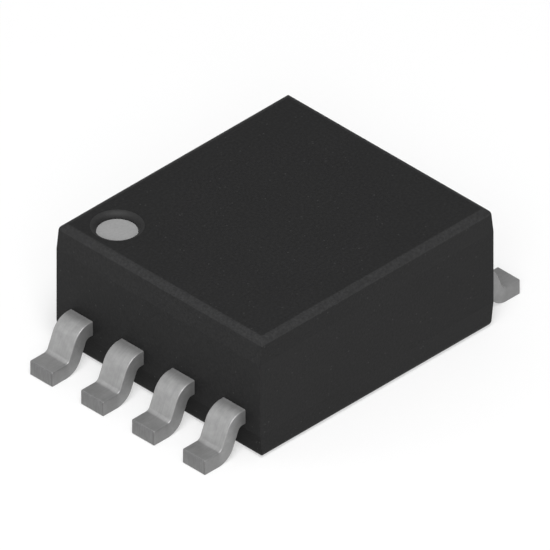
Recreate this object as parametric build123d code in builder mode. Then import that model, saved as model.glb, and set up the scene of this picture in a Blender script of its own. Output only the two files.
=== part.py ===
"""Logic gate chip in an 8-lead very thin shrink small-outline package.

Millimetres. The origin is the centre of the seating plane, +Z points up, the
leads point along -X and +X, and lead 1 is at -X, +Y beside the index mark.
Leads 1 to 4 run down the -X side, leads 5 to 8 run back up the +X side.
"""

from build123d import *

import math
import os

os.makedirs("parts", exist_ok=True)

# ---------------------------------------------------------------- dimensions
# moulded body
body_x = 2.30  # across the two faces that carry the leads
body_y = 2.00  # along the lead rows
body_z = 1.00  # height, from the seating plane
band_low = 0.20  # the lead faces are upright between these two heights
band_high = 0.80
draft_deg = 7.5  # and lean in by this much above and below
edge_r = 0.05  # rounding of the top and bottom perimeters

# index recess and its ink
index_x, index_y = -0.85, 0.70
index_r = 0.15
index_depth = 0.05  # down to the face of the ink
index_edge_r = 0.05  # rounding of the rim, down to the ink all the way round
ink_t = 0.010

# leads
pitch = 0.50
leads_a_side = 4
lead_w = 0.22
lead_t = 0.12
span_x = 3.10  # toe to toe
exit_top = 0.36  # height of the upper face where a lead leaves the body
exit_run = 0.03  # straight stretch outside the body wall
bend_in_r = 0.04  # inside radius of both bends
leg_deg = 67.0  # slope of the leg, from the seating plane

# inner fingers, as distances from the body's centre plane
tip_x = 0.52
ear_x0, ear_x1 = 0.90, 1.00  # locking ears that key the finger into the body
ear_out = 0.05
pad_half_x = 0.40
pad_half_y = 0.60
finger_corner_r = 0.020

# die
die_x, die_y, die_t = 0.52, 0.72, 0.20
attach_t = 0.020
attach_over = 0.025  # how far the adhesive stands out around the die

# bond wires
wire_r = 0.0125
ball_r = 0.032
ball_h = 0.016
loop_rise = 0.125  # centre line of the loop above the die's top face
bond_pad_x = 0.20
bond_pad_ys = (0.29, 0.10, -0.10, -0.29)
stitch_x = 0.590
stitch_corner_y = 0.63
stitch_rx, stitch_ry, stitch_h = 0.040, 0.030, 0.008

# ------------------------------------------------------------------- derived
half_x, half_y = body_x / 2, body_y / 2
toe_x = span_x / 2
draft_in = band_low * math.tan(math.radians(draft_deg))
bend_out_r = bend_in_r + lead_t
exit_bottom = exit_top - lead_t
leg = math.radians(leg_deg)
leg_len = (
    exit_top - lead_t - (bend_in_r + bend_out_r) * (1 - math.cos(leg))
) / math.sin(leg)
bend_1_x = half_x + exit_run  # centres of the upper and lower bends
bend_2_x = (
    bend_1_x + (bend_in_r + bend_out_r) * math.sin(leg) + leg_len * math.cos(leg)
)
die_bottom = exit_top + attach_t
die_top = die_bottom + die_t
lead_ys = [pitch * (1.5 - i) for i in range(leads_a_side)]

print("leg length", round(leg_len, 4), "lower bend centre at", round(bend_2_x, 4))
print("foot length flat on the board", round(toe_x - bend_2_x, 4))


# ------------------------------------------------------------ shared outlines
def side_profile(inner_end):
    """Side view of a lead: u outwards from the centre plane, v up. It starts
    flat at inner_end, leaves the body, turns down over the upper bend, follows
    the leg, turns out over the lower bend and ends at the toe."""
    su, cu = math.sin(leg), math.cos(leg)
    top_1 = (bend_1_x, exit_top)
    top_2 = (
        bend_1_x + bend_out_r * su,
        exit_top - bend_out_r * (1 - cu),
    )
    mid_1 = (
        bend_1_x + bend_out_r * math.sin(leg / 2),
        exit_top - bend_out_r * (1 - math.cos(leg / 2)),
    )
    top_3 = (top_2[0] + leg_len * cu, top_2[1] - leg_len * su)
    foot_top = (bend_2_x, lead_t)
    mid_2 = (
        bend_2_x - bend_in_r * math.sin(leg / 2),
        lead_t + bend_in_r * (1 - math.cos(leg / 2)),
    )
    foot_bottom = (bend_2_x, 0)
    mid_3 = (
        bend_2_x - bend_out_r * math.sin(leg / 2),
        bend_out_r * (1 - math.cos(leg / 2)),
    )
    under_1 = (bend_2_x - bend_out_r * su, bend_out_r * (1 - cu))
    under_2 = (under_1[0] - leg_len * cu, under_1[1] + leg_len * su)
    mid_4 = (
        bend_1_x + bend_in_r * math.sin(leg / 2),
        exit_bottom - bend_in_r * (1 - math.cos(leg / 2)),
    )
    under_3 = (bend_1_x, exit_bottom)
    with BuildSketch() as profile:
        with BuildLine():
            Polyline((inner_end, exit_bottom), (inner_end, exit_top), top_1)
            ThreePointArc(top_1, mid_1, top_2)
            Line(top_2, top_3)
            ThreePointArc(top_3, mid_2, foot_top)
            Polyline(foot_top, (toe_x, lead_t), (toe_x, 0), foot_bottom)
            ThreePointArc(foot_bottom, mid_3, under_1)
            Line(under_1, under_2)
            ThreePointArc(under_2, mid_4, under_3)
            Line(under_3, (inner_end, exit_bottom))
        make_face()
    return profile.sketch_local


def middle_plan(side, y):
    """Plan of a middle lead: a straight finger with two locking ears."""
    w = lead_w / 2
    half = [
        (toe_x + 0.1, w),
        (ear_x1, w),
        (ear_x1, w + ear_out),
        (ear_x0, w + ear_out),
        (ear_x0, w),
        (0.74, w),
        (0.66, w - 0.01),
        (tip_x, w - 0.01),
    ]
    points = half + [(u, -v) for u, v in reversed(half)]
    return [(side * u, y + v) for u, v in points]


def corner_plan(side, y):
    """Plan of a corner lead: its finger closes in on the die pad."""
    out = 1 if y > 0 else -1
    yy = abs(y)
    w = lead_w / 2
    points = [
        (toe_x + 0.1, yy + w),
        (ear_x1, yy + w),
        (ear_x1, yy + w + ear_out - 0.01),
        (ear_x0, yy + w + ear_out - 0.01),
        (ear_x0, yy + w),
        (0.74, 0.82),
        (0.60, 0.74),
        (tip_x, 0.74),
        (tip_x, 0.52),
        (0.64, 0.52),
        (0.80, yy - w),
        (ear_x0, yy - w),
        (ear_x0, yy - w - ear_out),
        (ear_x1, yy - w - ear_out),
        (ear_x1, yy - w),
        (toe_x + 0.1, yy - w),
    ]
    return [(side * u, out * v) for u, v in points]


# -------------------------------------------------------------------- leads
inner_pieces = []

numbers = [(i + 1, -1, lead_ys[i]) for i in range(leads_a_side)]
numbers += [(8 - i, 1, lead_ys[i]) for i in range(leads_a_side)]

for number, side, y in numbers:
    if number == 4:
        continue
    side_plane = Plane(origin=(0, y, 0), x_dir=(side, 0, 0), z_dir=(0, -side, 0))
    corner = abs(y) > pitch
    with BuildPart() as lead:
        with BuildSketch(side_plane):
            add(side_profile(tip_x - 0.05))
        extrude(amount=0.35, both=True)
        with BuildSketch(Plane.XY.offset(-0.1)) as plan:
            with BuildLine():
                Polyline(
                    *(corner_plan(side, y) if corner else middle_plan(side, y)),
                    close=True,
                )
            make_face()
            fillet(
                plan.vertices().filter_by(lambda v: abs(v.X) < half_x - 0.02),
                radius=finger_corner_r,
            )
        extrude(amount=0.6, mode=Mode.INTERSECT)
    lead.part.label = f"lead_{number}"
    export_step(lead.part, f"parts/lead_{number}.step")
    inner_pieces.append(lead.part)

# Lead 4 is the ground lead. Its finger runs on into the pad under the die, so
# the two are one stamped piece.
with BuildPart() as lead_4_die_pad:
    ground_y = lead_ys[3]
    ground_plane = Plane(origin=(0, 0, 0), x_dir=(-1, 0, 0), z_dir=(0, 1, 0))
    with BuildSketch(ground_plane):
        add(side_profile(-pad_half_x - 0.05))
    extrude(amount=half_y, both=True)
    with BuildSketch(Plane.XY.offset(-0.1)) as ground_plan:
        with BuildLine():
            Polyline(*corner_plan(-1, ground_y), close=True)
        make_face()
        with BuildLine():
            Polyline(
                (-tip_x - 0.06, -0.70),
                (-tip_x - 0.06, -0.56),
                (-pad_half_x + 0.06, -0.40),
                (-pad_half_x + 0.06, -0.58),
                close=True,
            )
        make_face()
        Rectangle(2 * pad_half_x, 2 * pad_half_y)
        fillet(
            ground_plan.vertices().filter_by(lambda v: abs(v.X) < half_x - 0.02),
            radius=0.012,
        )
    extrude(amount=0.6, mode=Mode.INTERSECT)
lead_4_die_pad.part.label = "lead_4_die_pad"
export_step(lead_4_die_pad.part, "parts/lead_4_die_pad.step")
inner_pieces.append(lead_4_die_pad.part)

# ---------------------------------------------------------------------- die
# The adhesive is squeezed out a little past the die and slopes down at its rim.
with BuildPart() as die_attach:
    with BuildSketch(Plane.XY.offset(exit_top)):
        RectangleRounded(die_x + 2 * attach_over, die_y + 2 * attach_over, 0.03)
    with BuildSketch(Plane.XY.offset(die_bottom)):
        RectangleRounded(die_x + attach_over, die_y + attach_over, 0.02)
    loft()
die_attach.part.label = "die_attach"
export_step(die_attach.part, "parts/die_attach.step")
inner_pieces.append(die_attach.part)

with BuildPart() as die:
    with BuildSketch(Plane.XY.offset(die_bottom)):
        Rectangle(die_x, die_y)
    extrude(amount=die_t)
die.part.label = "die"
export_step(die.part, "parts/die.step")
inner_pieces.append(die.part)

# --------------------------------------------------------------- bond wires
# Each wire is one piece: a squashed ball on the die, a loop that rises, turns
# over and falls to the lead finger, and a flat stitch there.
for number, side, y in numbers:
    row = lead_ys.index(y)
    ball = Vector(side * bond_pad_x, bond_pad_ys[row], die_top)
    stitch_y = y if abs(y) < pitch else math.copysign(stitch_corner_y, y)
    stitch = Vector(side * stitch_x, stitch_y, exit_top)
    flat = Vector(stitch.X - ball.X, stitch.Y - ball.Y, 0)
    reach = flat.length
    along = flat.normalized()
    # local x runs from ball to stitch, local y is up
    loop_plane = Plane(
        origin=(ball.X, ball.Y, 0), x_dir=along, z_dir=along.cross(Vector(0, 0, 1))
    )
    start_z = die_top + ball_h / 2
    loop_z = die_top + loop_rise
    land_z = exit_top + wire_r
    with BuildPart() as wire:
        with BuildLine(loop_plane) as loop:
            FilletPolyline(
                (0, start_z),
                (0, loop_z),
                (0.13, loop_z - 0.006),
                (reach - 0.045, land_z + 0.020),
                (reach, land_z - 0.002),
                radius=(0.032, 0.075, 0.040),
            )
        with BuildSketch(Plane(origin=(ball.X, ball.Y, start_z))):
            Circle(wire_r)
        sweep(path=loop.line)
        # ball bond
        with BuildSketch(loop_plane):
            with BuildLine():
                Line((0, die_top), (ball_r - 0.006, die_top))
                ThreePointArc(
                    (ball_r - 0.006, die_top),
                    (ball_r, die_top + ball_h / 2),
                    (ball_r - 0.008, die_top + ball_h),
                )
                Line((ball_r - 0.008, die_top + ball_h), (0, die_top + ball_h))
                Line((0, die_top + ball_h), (0, die_top))
            make_face()
        revolve(axis=Axis((ball.X, ball.Y, 0), (0, 0, 1)))
        # stitch bond: the wire's end pressed flat on the finger
        with BuildSketch(
            Plane(origin=(stitch.X, stitch.Y, exit_top), x_dir=along, z_dir=(0, 0, 1))
        ):
            Ellipse(stitch_rx, stitch_ry)
        extrude(amount=stitch_h)
        # nothing of the wire goes below the face that it is bonded to
        with BuildSketch(
            Plane(origin=(stitch.X, stitch.Y, exit_top), x_dir=along, z_dir=(0, 0, -1))
        ):
            Rectangle(0.3, 0.3)
        extrude(amount=0.05, mode=Mode.SUBTRACT)
    wire.part.label = f"bond_wire_{number}"
    export_step(wire.part, f"parts/bond_wire_{number}.step")
    inner_pieces.append(wire.part)
    run = sum(edge.length for edge in loop.line.edges())
    print(f"bond_wire_{number}", "loop length", round(run, 3))

# ---------------------------------------------------------------- index mark
with BuildPart() as pin_1_mark:
    with BuildSketch(Plane(origin=(index_x, index_y, body_z - index_depth - ink_t))):
        Circle(index_r)
    extrude(amount=ink_t)
pin_1_mark.part.label = "pin_1_mark"
export_step(pin_1_mark.part, "parts/pin_1_mark.step")

# --------------------------------------------------------------------- body
# One casting: an upright band on the lead faces with draft above and below,
# plain end faces, rounded top and bottom perimeters, and its own resin all
# round the pieces inside it.
with BuildPart() as body:
    with BuildSketch(Plane.XZ):
        with BuildLine():
            Polyline(
                (-half_x, band_low),
                (-half_x, band_high),
                (-half_x + draft_in, body_z),
                (half_x - draft_in, body_z),
                (half_x, band_high),
                (half_x, band_low),
                (half_x - draft_in, 0),
                (-half_x + draft_in, 0),
                close=True,
            )
        make_face()
    extrude(amount=half_y, both=True)
    fillet(body.faces().sort_by(Axis.Z)[-1].edges(), radius=edge_r)
    fillet(body.faces().sort_by(Axis.Z)[0].edges(), radius=edge_r)
    # index recess: a round pocket with a generously rounded rim
    with Locations((index_x, index_y, body_z)):
        Hole(index_r, depth=index_depth + ink_t)
    index_rim = body.edges().filter_by(GeomType.CIRCLE).sort_by(Axis.Z)[-1]
    fillet(index_rim, radius=index_edge_r)
    # room for what is cast in
    for piece in inner_pieces:
        add(piece, mode=Mode.SUBTRACT)
body.part.label = "body"
export_step(body.part, "parts/body.step")
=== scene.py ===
"""Looks of the logic gate chip: finely rounded meshes of the moulded body, the
index ink and the eight gull-wing leads, procedural finishes, a plain pale floor
and soft studio light. Metres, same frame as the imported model."""

import math

import bmesh
import bpy
from mathutils import Matrix, Vector


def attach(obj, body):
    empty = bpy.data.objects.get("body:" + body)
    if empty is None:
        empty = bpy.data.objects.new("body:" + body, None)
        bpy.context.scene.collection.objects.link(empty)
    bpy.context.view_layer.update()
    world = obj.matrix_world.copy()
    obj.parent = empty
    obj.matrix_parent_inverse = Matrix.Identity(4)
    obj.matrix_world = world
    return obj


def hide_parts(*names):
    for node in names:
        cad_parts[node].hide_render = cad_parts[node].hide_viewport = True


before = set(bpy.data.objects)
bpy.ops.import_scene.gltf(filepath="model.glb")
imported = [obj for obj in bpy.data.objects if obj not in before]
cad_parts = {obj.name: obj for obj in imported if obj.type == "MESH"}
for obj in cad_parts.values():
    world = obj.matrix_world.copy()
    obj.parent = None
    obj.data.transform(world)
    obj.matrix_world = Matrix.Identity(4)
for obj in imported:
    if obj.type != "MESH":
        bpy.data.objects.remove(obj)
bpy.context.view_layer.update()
scene = bpy.context.scene

MM = 0.001
UM = 0.000001

# ------------------------------------------------------------------ dimensions
# millimetres, as in the construction
HALF_X, HALF_Y, TOP = 1.15, 1.00, 1.00
BAND_LOW, BAND_HIGH, DRAFT = 0.20, 0.80, math.radians(7.5)
EDGE_R = 0.05
INDEX_X, INDEX_Y = -0.85, 0.70
POCKET_R, DEPTH, RIM_ROUND, INK_T = 0.15, 0.05, 0.05, 0.010
LEAD_W, LEAD_T = 0.22, 0.12
TOE_X, EXIT_TOP, EXIT_RUN, BEND_IN = 1.55, 0.36, 0.03, 0.04
LEG = math.radians(67.0)
TIP_X = 0.52
PAD_X, PAD_Y = 0.40, 0.60
BEND_OUT = BEND_IN + LEAD_T
LEG_LEN = (EXIT_TOP - LEAD_T - (BEND_IN + BEND_OUT) * (1 - math.cos(LEG))) / math.sin(LEG)
BEND_1_X = HALF_X + EXIT_RUN
BEND_2_X = BEND_1_X + (BEND_IN + BEND_OUT) * math.sin(LEG) + LEG_LEN * math.cos(LEG)


# -------------------------------------------------------------------- camera
# The photograph is an isometric view with no perspective: down the diagonal
# between the lead 1 to 4 side and the near end face.
camera_data = bpy.data.cameras.new("camera")
camera_data.type = "ORTHO"
camera_data.ortho_scale = 550 / 143.95 * MM
camera = bpy.data.objects.new("camera", camera_data)
scene.collection.objects.link(camera)
back = Vector((-1, -1, 1)).normalized()
camera.location = Vector((0, 0, 0.5016 * MM)) + back * 0.02
camera.rotation_mode = "QUATERNION"
camera.rotation_quaternion = (-back).to_track_quat("-Z", "Y")
camera_data.clip_start, camera_data.clip_end = 0.0005, 1.0
scene.camera = camera


# ------------------------------------------------------------------- helpers
def shade_and_weight(ob, sharp_deg=38.0):
    """Smooth faces with flats that read dead flat beside their small rounds."""
    mesh = ob.data
    for polygon in mesh.polygons:
        polygon.use_smooth = True
    mesh.set_sharp_from_angle(angle=math.radians(sharp_deg))
    weighted = ob.modifiers.new("flats", "WEIGHTED_NORMAL")
    weighted.mode = "FACE_AREA"
    weighted.weight = 100
    weighted.keep_sharp = True


def add_mesh(name, bm, sharp_deg=38.0):
    bmesh.ops.recalc_face_normals(bm, faces=bm.faces)
    mesh = bpy.data.meshes.new(name)
    bm.to_mesh(mesh)
    bm.free()
    ob = bpy.data.objects.new(name, mesh)
    scene.collection.objects.link(ob)
    shade_and_weight(ob, sharp_deg)
    return ob


def ring(bm, points):
    return [bm.verts.new(Vector(p) * MM) for p in points]


def bridge(bm, a, b):
    n = len(a)
    for i in range(n):
        bm.faces.new((a[i], a[(i + 1) % n], b[(i + 1) % n], b[i]))


# ---------------------------------------------------------------------- body
def body_section(z):
    """Half sizes of the body along X and Y at height z."""
    low = z < TOP / 2
    h = TOP - z if low else z  # measured as if in the upper half
    tangent = TOP - EDGE_R + EDGE_R * math.sin(DRAFT)

    def lean(v):
        return HALF_X - max(0.0, v - BAND_HIGH) * math.tan(DRAFT)

    if h <= tangent:
        hx = lean(h)
    else:
        centre = lean(tangent) - EDGE_R * math.cos(DRAFT)
        hx = centre + math.sqrt(max(0.0, EDGE_R**2 - (h - TOP + EDGE_R) ** 2))
    hy = HALF_Y
    if h > TOP - EDGE_R:
        hy = HALF_Y - EDGE_R + math.sqrt(max(0.0, EDGE_R**2 - (h - TOP + EDGE_R) ** 2))
    return hx, hy


def rounded_rect(hx, hy, r, steps):
    """Corner by corner, anticlockwise from the +X, +Y corner."""
    out = []
    for cx, cy, start in ((1, 1, 0), (-1, 1, 90), (-1, -1, 180), (1, -1, 270)):
        for i in range(steps + 1):
            a = math.radians(start + 90 * i / steps)
            out.append((cx * (hx - r) + r * math.cos(a), cy * (hy - r) + r * math.sin(a)))
    return out


def make_body():
    """The moulding. A mark rides on its points: painted light and shade in the
    skin of the compound, from 0 (painted shade on the lower band and round of
    the faces with leads) through 0.5 (plain), a little over on the top face and
    the upper band of the faces with leads (painted light), to 1 (a painted
    highlight on the rounded top edges). The faces of the index recess take the
    second material slot, because a pin of its own in the mould forms them."""
    bm = bmesh.new()
    painted_shading = bm.verts.layers.float.new("painted_shading")
    corner_r, steps, arc = 0.005, 4, 12
    heights = [0.0]
    for i in range(1, arc + 1):  # lower round, 7.5 degrees at a time
        heights.append(EDGE_R - EDGE_R * math.sin(math.radians(90 - 7.5 * i)))
    heights += [EDGE_R + 0.004, BAND_LOW - 0.003, BAND_LOW, BAND_LOW + 0.003]
    heights = heights + [TOP - h for h in reversed(heights)]
    rings = []
    for z in heights:
        hx, hy = body_section(z)
        outline = rounded_rect(hx, hy, corner_r, steps)
        rings.append(ring(bm, [(x, y, z) for x, y in outline]))
        for vert, (x, y) in zip(rings[-1], outline):
            end = max(0.0, 1 - (hx - abs(x)) / corner_r)  # 1 on the faces with leads
            # painted light and shade: a painted highlight on the rounded top edges, the upper band of the faces with
            # leads a little lighter, and the lower band and round of those faces darker as painted shade
            if z > TOP - EDGE_R + 0.001:
                vert[painted_shading] = 1.0 if z < TOP - 0.0001 else 0.75
            elif z > BAND_HIGH + 0.001:
                vert[painted_shading] = 0.5 + 0.10 * end
            elif z < BAND_LOW - 0.001:
                vert[painted_shading] = 0.5 - 0.5 * end
            else:
                vert[painted_shading] = 0.5
    for a, b in zip(rings, rings[1:]):
        bridge(bm, a, b)
    # underside, with one support ring so that it stays flat to its round
    hx, hy = body_section(0.0)
    under = ring(bm, [(x, y, 0.0) for x, y in rounded_rect(hx - 0.004, hy - 0.004, corner_r, steps)])
    bridge(bm, under, rings[0])
    bm.faces.new(list(reversed(under)))
    # top face, pierced by the index recess
    upper = ring(bm, [(x, y, TOP) for x, y in rounded_rect(hx - 0.004, hy - 0.004, corner_r, steps)])
    bridge(bm, rings[-1], upper)
    for vert in under:
        vert[painted_shading] = 0.5
    # the top face a little lighter than plain, as painted light
    for vert in upper:
        vert[painted_shading] = 0.555
    turn = 128

    def circle(r, z):
        return ring(
            bm,
            [
                (
                    INDEX_X + r * math.cos(2 * math.pi * i / turn),
                    INDEX_Y + r * math.sin(2 * math.pi * i / turn),
                    z,
                )
                for i in range(turn)
            ],
        )

    outer = POCKET_R + RIM_ROUND
    profile = [(outer + 0.004, TOP)]
    for i in range(19):  # the rounded rim, 5 degrees at a time
        a = math.radians(5 * i)
        profile.append((outer - RIM_ROUND * math.sin(a), TOP - RIM_ROUND * (1 - math.cos(a))))
    profile += [
        (POCKET_R, TOP - DEPTH - INK_T),
        (POCKET_R - 0.004, TOP - DEPTH - INK_T),
    ]
    circles = [circle(r, z) for r, z in profile]
    # the top face's painted light reaches the rim of the recess; the recess itself is plain
    for loop, (r, z) in zip(circles, profile):
        for vert in loop:
            vert[painted_shading] = 0.555 if z == TOP else 0.5
    first = len(bm.faces)
    for a, b in zip(circles, circles[1:]):
        bridge(bm, a, b)
    bm.faces.new(circles[-1])
    bm.faces.ensure_lookup_table()
    for face in bm.faces[first:]:
        if max(vert.co.z for vert in face.verts) < (TOP - 0.0002) * MM:
            face.material_index = 1
    edges = [bm.edges.get((upper[i], upper[(i + 1) % len(upper)])) for i in range(len(upper))]
    rim = circles[0]
    edges += [bm.edges.get((rim[i], rim[(i + 1) % turn])) for i in range(turn)]
    bmesh.ops.triangle_fill(bm, edges=edges, use_beauty=True)
    return add_mesh("moulded_body", bm)


# ----------------------------------------------------------------- index ink
def make_ink():
    """A printed disc on the floor of the recess, a little dished, with a
    rounded rim that leaves a hair's breadth of the dark floor bare around it."""
    bm = bmesh.new()
    turn = 128
    face = TOP - DEPTH
    edge = POCKET_R - 0.0022
    profile = [(edge, face - INK_T), (edge, face - 0.0022)]
    for i in range(1, 6):
        a = math.radians(90 * i / 5)
        profile.append((edge - 0.0022 * (1 - math.cos(a)), face - 0.0022 + 0.0022 * math.sin(a)))
    for r, drop in ((0.140, 0.0002), (0.125, 0.0007), (0.10, 0.0012), (0.07, 0.0016), (0.035, 0.0018)):
        profile.append((r, face - drop))
    circles = []
    for r, z in profile:
        circles.append(
            ring(
                bm,
                [
                    (
                        INDEX_X + r * math.cos(2 * math.pi * i / turn),
                        INDEX_Y + r * math.sin(2 * math.pi * i / turn),
                        z,
                    )
                    for i in range(turn)
                ],
            )
        )
    for a, b in zip(circles, circles[1:]):
        bridge(bm, a, b)
    bm.faces.new(list(reversed(circles[0])))
    bm.faces.new(circles[-1])
    return add_mesh("index_ink", bm)


# --------------------------------------------------------------------- leads
def rounded_section(hw, ht, r_top, r_low, steps):
    """Section of the metal: half width and half thickness, with the sheared
    corners rounded more on the punch side than on the burr side."""
    out = []
    for cx, cy, start, r in (
        (1, 1, 0, r_top),
        (-1, 1, 90, r_top),
        (-1, -1, 180, r_low),
        (1, -1, 270, r_low),
    ):
        for i in range(steps + 1):
            a = math.radians(start + 90 * i / steps)
            out.append((cx * (hw - r) + r * math.cos(a), cy * (ht - r) + r * math.sin(a)))
    return out


def lead_path():
    """Stations (u, z, slope) of the metal's middle from the toe to the body
    wall. The slope is the angle by which the metal rises towards the body."""
    mid = LEAD_T / 2
    r_mid = BEND_IN + mid
    out = []
    n = 20
    # flat foot
    for u in (TOE_X - 0.016, TOE_X - 0.05, BEND_2_X + 0.004):
        out.append((u, mid, 0.0))
    # lower bend: centre above the foot
    cz = LEAD_T + BEND_IN
    for i in range(n + 1):
        a = LEG * i / n
        out.append((BEND_2_X - r_mid * math.sin(a), cz - r_mid * math.cos(a), a))
    # leg
    u0, z0, _ = out[-1]
    for t in (0.004, LEG_LEN / 2, LEG_LEN - 0.004):
        out.append((u0 - t * math.cos(LEG), z0 + t * math.sin(LEG), LEG))
    # upper bend: centre below the metal
    cz = EXIT_TOP - BEND_OUT
    for i in range(n + 1):
        a = LEG * (1 - i / n)
        out.append((BEND_1_X + r_mid * math.sin(a), cz + r_mid * math.cos(a), a))
    # straight run into the body
    out.append((BEND_1_X - 0.004, EXIT_TOP - mid, 0.0))
    out.append((HALF_X, EXIT_TOP - mid, 0.0))
    return out


MIDDLE_PLAN = [
    # distance out, nearer edge, farther edge (as offsets from the lead's row)
    (1.0005, -0.11, 0.11),
    (0.9995, -0.16, 0.16),
    (0.9005, -0.16, 0.16),
    (0.8995, -0.11, 0.11),
    (0.74, -0.11, 0.11),
    (0.66, -0.10, 0.10),
    (TIP_X + 0.006, -0.10, 0.10),
]
CORNER_PLAN = [
    # distance out, inner edge, outer edge, measured from the centre line
    (1.0005, 0.64, 0.86),
    (0.9995, 0.59, 0.90),
    (0.9005, 0.59, 0.90),
    (0.8995, 0.64, 0.86),
    (0.80, 0.64, 0.8325),
    (0.74, 0.595, 0.82),
    (0.64, 0.52, 0.763),
    (0.60, 0.52, 0.74),
    (TIP_X + 0.006, 0.52, 0.74),
]
PAD_PLAN = [
    (0.58, 0.52, 0.74),
    (0.53, 0.50, 0.74),
    (0.50, 0.48, 0.70),
    (0.4008, 0.42, 0.62),
    (0.3992, -PAD_Y, PAD_Y),
    (-PAD_X + 0.006, -PAD_Y, PAD_Y),
]


def make_lead(number, side, y):
    """One lead as a loft of rounded sections from its toe, over both bends and
    through the body wall to the end of its finger. Lead 4 runs on into the pad
    under the die."""
    corner = abs(y) > 0.5
    out = 1 if y > 0 else -1
    stations = []  # (u, z, slope, centre in y, half width, half thickness, corner radii)
    mid = LEAD_T / 2
    toe_r, steps = 0.009, 4
    hw = LEAD_W / 2
    for i in range(5):
        a = math.radians(90 * i / 5)
        inset = toe_r * (1 - math.sin(a))
        stations.append((TOE_X - toe_r * (1 - math.cos(a)), mid, 0.0, y, hw - inset, mid - inset))
    stations.append((TOE_X - toe_r, mid, 0.0, y, hw, mid))
    for u, z, slope in lead_path():
        stations.append((u, z, slope, y, hw, mid))
    z_in = EXIT_TOP - mid
    if not corner:
        rows = [(u, y, (b - a) / 2) for u, a, b in MIDDLE_PLAN]
    else:
        plan = list(CORNER_PLAN)
        if number == 4:
            plan = plan[:-1] + PAD_PLAN
        rows = [(u, out * (a + b) / 2, (b - a) / 2) for u, a, b in plan]
    for u, cy, half in rows:
        stations.append((u, z_in, 0.0, cy, half, mid))
    end_u, _, _, cy, half, _ = stations[-1]
    for inset, du in ((0.002, 0.004), (0.006, 0.006)):
        stations.append((end_u - du, z_in, 0.0, cy, half - inset, mid - inset))

    bm = bmesh.new()
    painted_highlight = bm.verts.layers.float.new("painted_highlight")
    sheared = bm.verts.layers.float.new("sheared")
    rings = []
    for u, z, slope, cy, half, thick in stations:
        # across the metal: local x along Y, local y along the outward normal
        normal = Vector((math.sin(slope), 0, math.cos(slope)))
        r_top = min(0.009, thick * 0.6, half * 0.6)
        r_low = min(0.005, thick * 0.6, half * 0.6)
        section = rounded_section(half, thick, r_top, r_low, steps)
        points = []
        for a, b in section:
            p = Vector((u, 0, z)) + normal * b
            points.append((side * p.x, cy + a, p.z))
        rings.append(ring(bm, points))
        # painted highlight: the two broad faces are painted brighter between the bends, more where the metal slopes,
        # full from 24 degrees on, and the sides take 0.6 of it
        slope_highlight = min(1.0, slope / math.radians(24)) ** 0.8
        for vert, (a, b) in zip(rings[-1], section):
            broad = abs(b) > thick - 0.001
            vert[painted_highlight] = slope_highlight if broad else 0.6 * slope_highlight
            # marks the sheared sides, which the finish paints darker as painted shade
            vert[sheared] = 1.0 if abs(a) > half - 0.001 else 0.0
    for a, b in zip(rings, rings[1:]):
        bridge(bm, a, b)
    bm.faces.new(rings[0])
    bm.faces.new(list(reversed(rings[-1])))
    return add_mesh(f"gull_wing_lead_{number}", bm)


# ----------------------------------------------------------------- materials
def new_material(name):
    material = bpy.data.materials.new(name)
    material.use_nodes = True
    tree = material.node_tree
    tree.nodes.clear()
    output = tree.nodes.new("ShaderNodeOutputMaterial")
    shader = tree.nodes.new("ShaderNodeBsdfPrincipled")
    tree.links.new(shader.outputs["BSDF"], output.inputs["Surface"])
    place = tree.nodes.new("ShaderNodeTexCoord")
    return material, tree, shader, place.outputs["Object"]


def noise(tree, where, feature_mm, detail=3.0, rough=0.55, scale=(1, 1, 1)):
    """A noise whose blotches are about feature_mm across."""
    mapping = tree.nodes.new("ShaderNodeMapping")
    mapping.inputs["Scale"].default_value = scale
    tree.links.new(where, mapping.inputs["Vector"])
    node = tree.nodes.new("ShaderNodeTexNoise")
    node.inputs["Scale"].default_value = 1.0 / (feature_mm * MM)
    node.inputs["Detail"].default_value = detail
    node.inputs["Roughness"].default_value = rough
    tree.links.new(mapping.outputs["Vector"], node.inputs["Vector"])
    return node.outputs["Fac"]


def ramp(tree, factor, stops):
    node = tree.nodes.new("ShaderNodeValToRGB")
    elements = node.color_ramp.elements
    while len(elements) < len(stops):
        elements.new(0.5)
    for element, (position, colour) in zip(elements, stops):
        element.position = position
        element.color = (*colour, 1.0) if len(colour) == 3 else colour
    tree.links.new(factor, node.inputs["Fac"])
    return node.outputs["Color"]


def mix_colour(tree, blend, factor, a, b):
    node = tree.nodes.new("ShaderNodeMix")
    node.data_type = "RGBA"
    node.blend_type = blend
    for socket, value in (("Factor", factor), ("A", a), ("B", b)):
        target = [s for s in node.inputs if s.name == socket and (s.type == "RGBA" if socket != "Factor" else s.type == "VALUE")][0]
        if hasattr(value, "links"):
            tree.links.new(value, target)
        else:
            target.default_value = value
    return [s for s in node.outputs if s.type == "RGBA"][0]


def math_node(tree, operation, a, b):
    node = tree.nodes.new("ShaderNodeMath")
    node.operation = operation
    for i, value in enumerate((a, b)):
        if hasattr(value, "links"):
            tree.links.new(value, node.inputs[i])
        else:
            node.inputs[i].default_value = value
    return node.outputs[0]


def to_range(tree, value, low, high):
    node = tree.nodes.new("ShaderNodeMapRange")
    node.inputs["To Min"].default_value = low
    node.inputs["To Max"].default_value = high
    tree.links.new(value, node.inputs["Value"])
    return node.outputs["Result"]


def bump(tree, shader, height, distance_um, strength=1.0, before=None):
    node = tree.nodes.new("ShaderNodeBump")
    node.inputs["Strength"].default_value = strength
    node.inputs["Distance"].default_value = distance_um * UM
    tree.links.new(height, node.inputs["Height"])
    if before is not None:
        tree.links.new(before, node.inputs["Normal"])
    if shader is not None:
        tree.links.new(node.outputs["Normal"], shader.inputs["Normal"])
    return node.outputs["Normal"]


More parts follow.
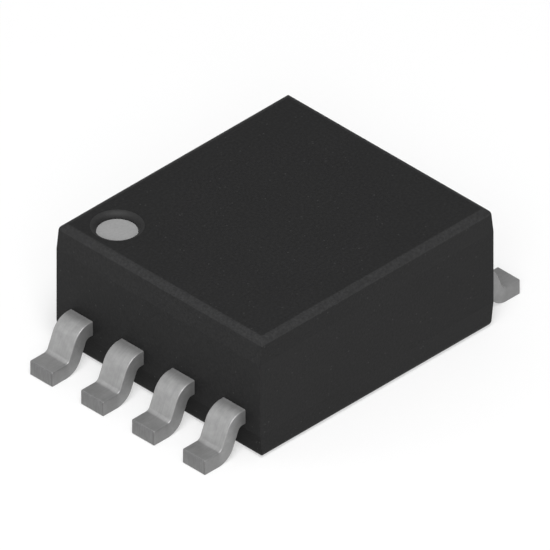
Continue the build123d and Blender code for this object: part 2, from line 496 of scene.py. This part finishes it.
def mould_compound(recess=False):
    """Black silica-filled epoxy off a spark-eroded mould: a fine even grain,
    pale specks of filler and faint clouds of flow, scaled by the painted light
    and shade marked on the body's points. In the index recess it has a
    stronger sheen and no specks."""
    material, tree, shader, where = new_material("mould_compound_recess" if recess else "mould_compound")
    grain = noise(tree, where, 0.020, detail=4.0, rough=0.6)
    fine = noise(tree, where, 0.007, detail=2.0, rough=0.5)
    clouds = noise(tree, where, 0.50, detail=3.0, rough=0.5)
    base = ramp(
        tree,
        grain,
        [(0.30, (0.0180, 0.0180, 0.0184)), (0.52, (0.0244, 0.0244, 0.0248)), (0.75, (0.0330, 0.0330, 0.0334))],
    )
    tinted = mix_colour(tree, "MULTIPLY", 1.0, base, ramp(tree, clouds, [(0.3, (0.93, 0.93, 0.93)), (0.7, (1.0, 1.0, 1.0))]))
    # painted light and shade: the body's mark darkens the lower band of the faces with leads, lightens the top face
    # and the upper band, and paints a highlight on the rounded top edges
    painted_shading = tree.nodes.new("ShaderNodeAttribute")
    painted_shading.attribute_name = "painted_shading"
    shade = ramp(tree, painted_shading.outputs["Fac"], [(0.0, (0.28, 0.28, 0.28)), (0.5, (0.62, 0.62, 0.62)), (1.0, (1.20, 1.20, 1.20))])
    tinted = mix_colour(tree, "MULTIPLY", 1.0, tinted, shade)
    if recess:
        tree.links.new(tinted, shader.inputs["Base Color"])
        tree.links.new(to_range(tree, grain, 0.60, 0.70), shader.inputs["Roughness"])
        shader.inputs["Specular IOR Level"].default_value = 0.42
        bump(tree, shader, grain, 1.2, 0.5)
        return material
    specks = tree.nodes.new("ShaderNodeTexVoronoi")
    specks.inputs["Scale"].default_value = 1.0 / (0.045 * MM)
    specks.inputs["Randomness"].default_value = 1.0
    tree.links.new(where, specks.inputs["Vector"])
    dots = ramp(tree, specks.outputs["Distance"], [(0.10, (1, 1, 1)), (0.17, (0, 0, 0))])
    rare = ramp(tree, noise(tree, where, 0.035, detail=0.0), [(0.58, (0, 0, 0)), (0.63, (1, 1, 1))])
    spots = mix_colour(tree, "MULTIPLY", 1.0, dots, rare)
    colour = mix_colour(tree, "MIX", spots, tinted, (0.034, 0.034, 0.034, 1.0))
    tree.links.new(colour, shader.inputs["Base Color"])
    tree.links.new(to_range(tree, grain, 0.52, 0.70), shader.inputs["Roughness"])
    shader.inputs["Specular IOR Level"].default_value = 0.12
    first = bump(tree, None, grain, 2.2, 0.65)
    bump(tree, shader, fine, 0.6, 0.6, first)
    return material


def index_ink():
    """Light grey printed ink, matte, with a little mottling."""
    material, tree, shader, where = new_material("index_ink")
    mottle = noise(tree, where, 0.022, detail=4.0, rough=0.6)
    wide = noise(tree, where, 0.10, detail=2.0)
    base = ramp(tree, mottle, [(0.3, (0.270, 0.270, 0.270)), (0.7, (0.310, 0.310, 0.310))])
    colour = mix_colour(tree, "MULTIPLY", 1.0, base, ramp(tree, wide, [(0.35, (0.96, 0.96, 0.96)), (0.65, (1, 1, 1))]))
    tree.links.new(colour, shader.inputs["Base Color"])
    tree.links.new(to_range(tree, mottle, 0.60, 0.78), shader.inputs["Roughness"])
    shader.inputs["Specular IOR Level"].default_value = 0.3
    bump(tree, shader, mottle, 0.8, 0.6)
    return material


def lead_finish():
    """Matte tin over copper alloy strip: a fine crystalline grain over faint
    rolling lines that run along the strip, a painted highlight between the
    bends, painted shade on the sides, and the toe cut off bare after plating,
    with shear lines, and painted darker as painted shade."""
    material, tree, shader, where = new_material("lead_finish")
    grain = noise(tree, where, 0.009, detail=3.0, rough=0.6)
    patches = noise(tree, where, 0.055, detail=3.0, rough=0.55)
    lines = noise(tree, where, 0.012, detail=3.0, rough=0.6, scale=(0.06, 1.0, 0.06))
    base = ramp(tree, patches, [(0.30, (0.244, 0.244, 0.244)), (0.55, (0.265, 0.265, 0.2645)), (0.75, (0.288, 0.288, 0.287))])
    streaks = ramp(tree, lines, [(0.30, (0.90, 0.90, 0.90)), (0.62, (1, 1, 1))])
    colour = mix_colour(tree, "MULTIPLY", 1.0, base, streaks)

    # painted highlight: the faces between the bends painted brighter, patchily
    slope_highlight = tree.nodes.new("ShaderNodeAttribute")
    slope_highlight.attribute_name = "painted_highlight"
    uneven = math_node(tree, "MULTIPLY", slope_highlight.outputs["Fac"], to_range(tree, patches, 0.75, 1.15))
    bright = mix_colour(tree, "MULTIPLY", 1.0, colour, (1.34, 1.34, 1.34, 1.0))
    colour = mix_colour(tree, "MIX", uneven, colour, bright)

    # painted shade: the sheared sides are painted a little darker than the broad faces
    sides = tree.nodes.new("ShaderNodeAttribute")
    sides.attribute_name = "sheared"
    colour = mix_colour(tree, "MIX", sides.outputs["Fac"], colour, mix_colour(tree, "MULTIPLY", 1.0, colour, (0.83, 0.83, 0.83, 1.0)))

    # the cut toe: beyond 1.545 mm from the middle, with shear lines, and darker as painted shade
    split = tree.nodes.new("ShaderNodeSeparateXYZ")
    tree.links.new(where, split.inputs["Vector"])
    out = math_node(tree, "ABSOLUTE", split.outputs["X"], 0.0)
    toe = tree.nodes.new("ShaderNodeMapRange")
    toe.inputs["From Min"].default_value = (TOE_X - 0.006) * MM
    toe.inputs["From Max"].default_value = (TOE_X - 0.002) * MM
    tree.links.new(out, toe.inputs["Value"])
    shear = noise(tree, where, 0.010, detail=3.0, rough=0.6, scale=(1.0, 1.0, 0.10))
    cut = mix_colour(tree, "MULTIPLY", 1.0, colour, ramp(tree, shear, [(0.30, (0.57, 0.57, 0.57)), (0.65, (0.74, 0.74, 0.74))]))
    colour = mix_colour(tree, "MIX", toe.outputs["Result"], colour, cut)
    tree.links.new(colour, shader.inputs["Base Color"])

    shader.inputs["Metallic"].default_value = 0.42
    rough = math_node(tree, "MULTIPLY_ADD", grain, 0.16)
    rough.node.inputs[2].default_value = 0.36
    tree.links.new(rough, shader.inputs["Roughness"])
    first = bump(tree, None, lines, 0.5, 0.5)
    bump(tree, shader, grain, 0.7, 0.7, first)
    return material


def silicon():
    """The die: dark silicon with blocks of circuit and lighter patches, the same
    on every face."""
    material, tree, shader, where = new_material("silicon")
    cells = tree.nodes.new("ShaderNodeTexVoronoi")
    cells.distance = "CHEBYCHEV"
    cells.inputs["Scale"].default_value = 1.0 / (0.06 * MM)
    tree.links.new(where, cells.inputs["Vector"])
    blocks = ramp(tree, cells.outputs["Distance"], [(0.10, (0.10, 0.12, 0.17)), (0.45, (0.16, 0.15, 0.20)), (0.60, (0.22, 0.20, 0.16))])
    dust = noise(tree, where, 0.03, detail=3.0)
    colour = mix_colour(tree, "MULTIPLY", 1.0, blocks, ramp(tree, dust, [(0.3, (0.85, 0.85, 0.85)), (0.7, (1, 1, 1))]))
    tree.links.new(colour, shader.inputs["Base Color"])
    tree.links.new(to_range(tree, dust, 0.12, 0.26), shader.inputs["Roughness"])
    bump(tree, shader, cells.outputs["Distance"], 0.5, 0.4)
    return material


def die_adhesive():
    """Silver-filled epoxy: grey with bright flakes."""
    material, tree, shader, where = new_material("die_adhesive")
    flakes = tree.nodes.new("ShaderNodeTexVoronoi")
    flakes.inputs["Scale"].default_value = 1.0 / (0.010 * MM)
    tree.links.new(where, flakes.inputs["Vector"])
    colour = ramp(tree, flakes.outputs["Distance"], [(0.15, (0.62, 0.62, 0.60)), (0.55, (0.36, 0.36, 0.35))])
    tree.links.new(colour, shader.inputs["Base Color"])
    tree.links.new(to_range(tree, flakes.outputs["Distance"], 0.35, 0.7), shader.inputs["Roughness"])
    shader.inputs["Metallic"].default_value = 0.4
    bump(tree, shader, flakes.outputs["Distance"], 1.0, 0.5)
    return material


def bond_gold():
    """Drawn gold wire, bright with faint die marks."""
    material, tree, shader, where = new_material("bond_gold")
    marks = noise(tree, where, 0.006, detail=3.0)
    colour = ramp(tree, marks, [(0.3, (0.90, 0.60, 0.20)), (0.7, (1.0, 0.72, 0.30))])
    tree.links.new(colour, shader.inputs["Base Color"])
    shader.inputs["Metallic"].default_value = 1.0
    tree.links.new(to_range(tree, marks, 0.18, 0.32), shader.inputs["Roughness"])
    bump(tree, shader, marks, 0.3, 0.4)
    return material


materials = {
    "mould_compound": mould_compound(),
    "mould_compound_recess": mould_compound(recess=True),
    "index_ink": index_ink(),
    "lead_finish": lead_finish(),
    "silicon": silicon(),
    "die_adhesive": die_adhesive(),
    "bond_gold": bond_gold(),
}


def finish_with(ob, slot):
    ob.data.materials.clear()
    ob.data.materials.append(materials[slot])


# -------------------------------------------------------------------- pieces
body = make_body()
for slot in ("mould_compound", "mould_compound_recess"):
    body.data.materials.append(materials[slot])
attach(body, "root")
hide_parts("body")

ink = make_ink()
finish_with(ink, "index_ink")
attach(ink, "root")
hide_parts("pin_1_mark")

for number in range(1, 9):
    side = -1 if number <= 4 else 1
    row = number - 1 if number <= 4 else 8 - number
    lead = make_lead(number, side, 0.75 - 0.5 * row)
    finish_with(lead, "lead_finish")
    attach(lead, "root")
    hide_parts("lead_4_die_pad" if number == 4 else f"lead_{number}")

finish_with(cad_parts["die"], "silicon")
finish_with(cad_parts["die_attach"], "die_adhesive")
for number in range(1, 9):
    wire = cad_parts[f"bond_wire_{number}"]
    finish_with(wire, "bond_gold")
    for polygon in wire.data.polygons:
        polygon.use_smooth = True

# --------------------------------------------------------------------- stage
floor_mesh = bmesh.new()
size = 0.25
corners = [floor_mesh.verts.new((x * size, y * size, -2 * UM)) for x, y in ((-1, -1), (1, -1), (1, 1), (-1, 1))]
floor_mesh.faces.new(corners)
mesh = bpy.data.meshes.new("floor")
floor_mesh.to_mesh(mesh)
floor_mesh.free()
floor = bpy.data.objects.new("floor", mesh)
scene.collection.objects.link(floor)
floor_material, floor_tree, floor_shader, _ = new_material("floor_opal")
floor_shader.inputs["Base Color"].default_value = (0.45, 0.45, 0.45, 1.0)
floor_shader.inputs["Roughness"].default_value = 0.9
floor_shader.inputs["Specular IOR Level"].default_value = 0.1
# lit through from below, as on a light table, so that shadows on it stay pale
floor_shader.inputs["Emission Color"].default_value = (1.0, 1.0, 1.0, 1.0)
floor_shader.inputs["Emission Strength"].default_value = 0.50
floor.data.materials.append(floor_material)

# -------------------------------------------------------------------- lights
world = bpy.data.worlds.new("studio")
scene.world = world
world.use_nodes = True
sky = world.node_tree
background = sky.nodes["Background"]
# pale grey from above; white below the horizon, where a low view that starts
# under the floor would see it
direction = sky.nodes.new("ShaderNodeTexCoord")
split = sky.nodes.new("ShaderNodeSeparateXYZ")
sky.links.new(direction.outputs["Generated"], split.inputs["Vector"])
shade = ramp(sky, split.outputs["Z"], [(0.0, (1.0, 1.0, 1.0)), (0.0001, (0.40, 0.40, 0.40))])
sky.links.new(shade, background.inputs["Color"])
background.inputs["Strength"].default_value = 1.0


def area_light(name, direction, distance, size, irradiance):
    """A square soft light that gives a face turned towards it, at the origin,
    about the irradiance asked for."""
    data = bpy.data.lights.new(name, "AREA")
    data.shape = "SQUARE"
    data.size = size
    # a square lamp of power P gives P / (pi * d^2) straight ahead, far off
    data.energy = irradiance * math.pi * distance**2
    light = bpy.data.objects.new(name, data)
    scene.collection.objects.link(light)
    towards = Vector(direction).normalized()
    light.location = Vector((0, 0, 0.0005)) + towards * distance
    light.rotation_mode = "QUATERNION"
    light.rotation_quaternion = (-towards).to_track_quat("-Z", "Y")
    return light


area_light("overhead", (-0.30, -0.30, 1.0), 0.060, 0.026, 1.95)
area_light("front", (-1, -1, 1), 0.060, 0.030, 1.25)
area_light("left", (-1, 1, 0.70), 0.060, 0.030, 0.25)

scene.view_settings.view_transform = "Standard"
scene.view_settings.look = "None"
scene.view_settings.exposure = 0.0
scene.view_settings.gamma = 1.0
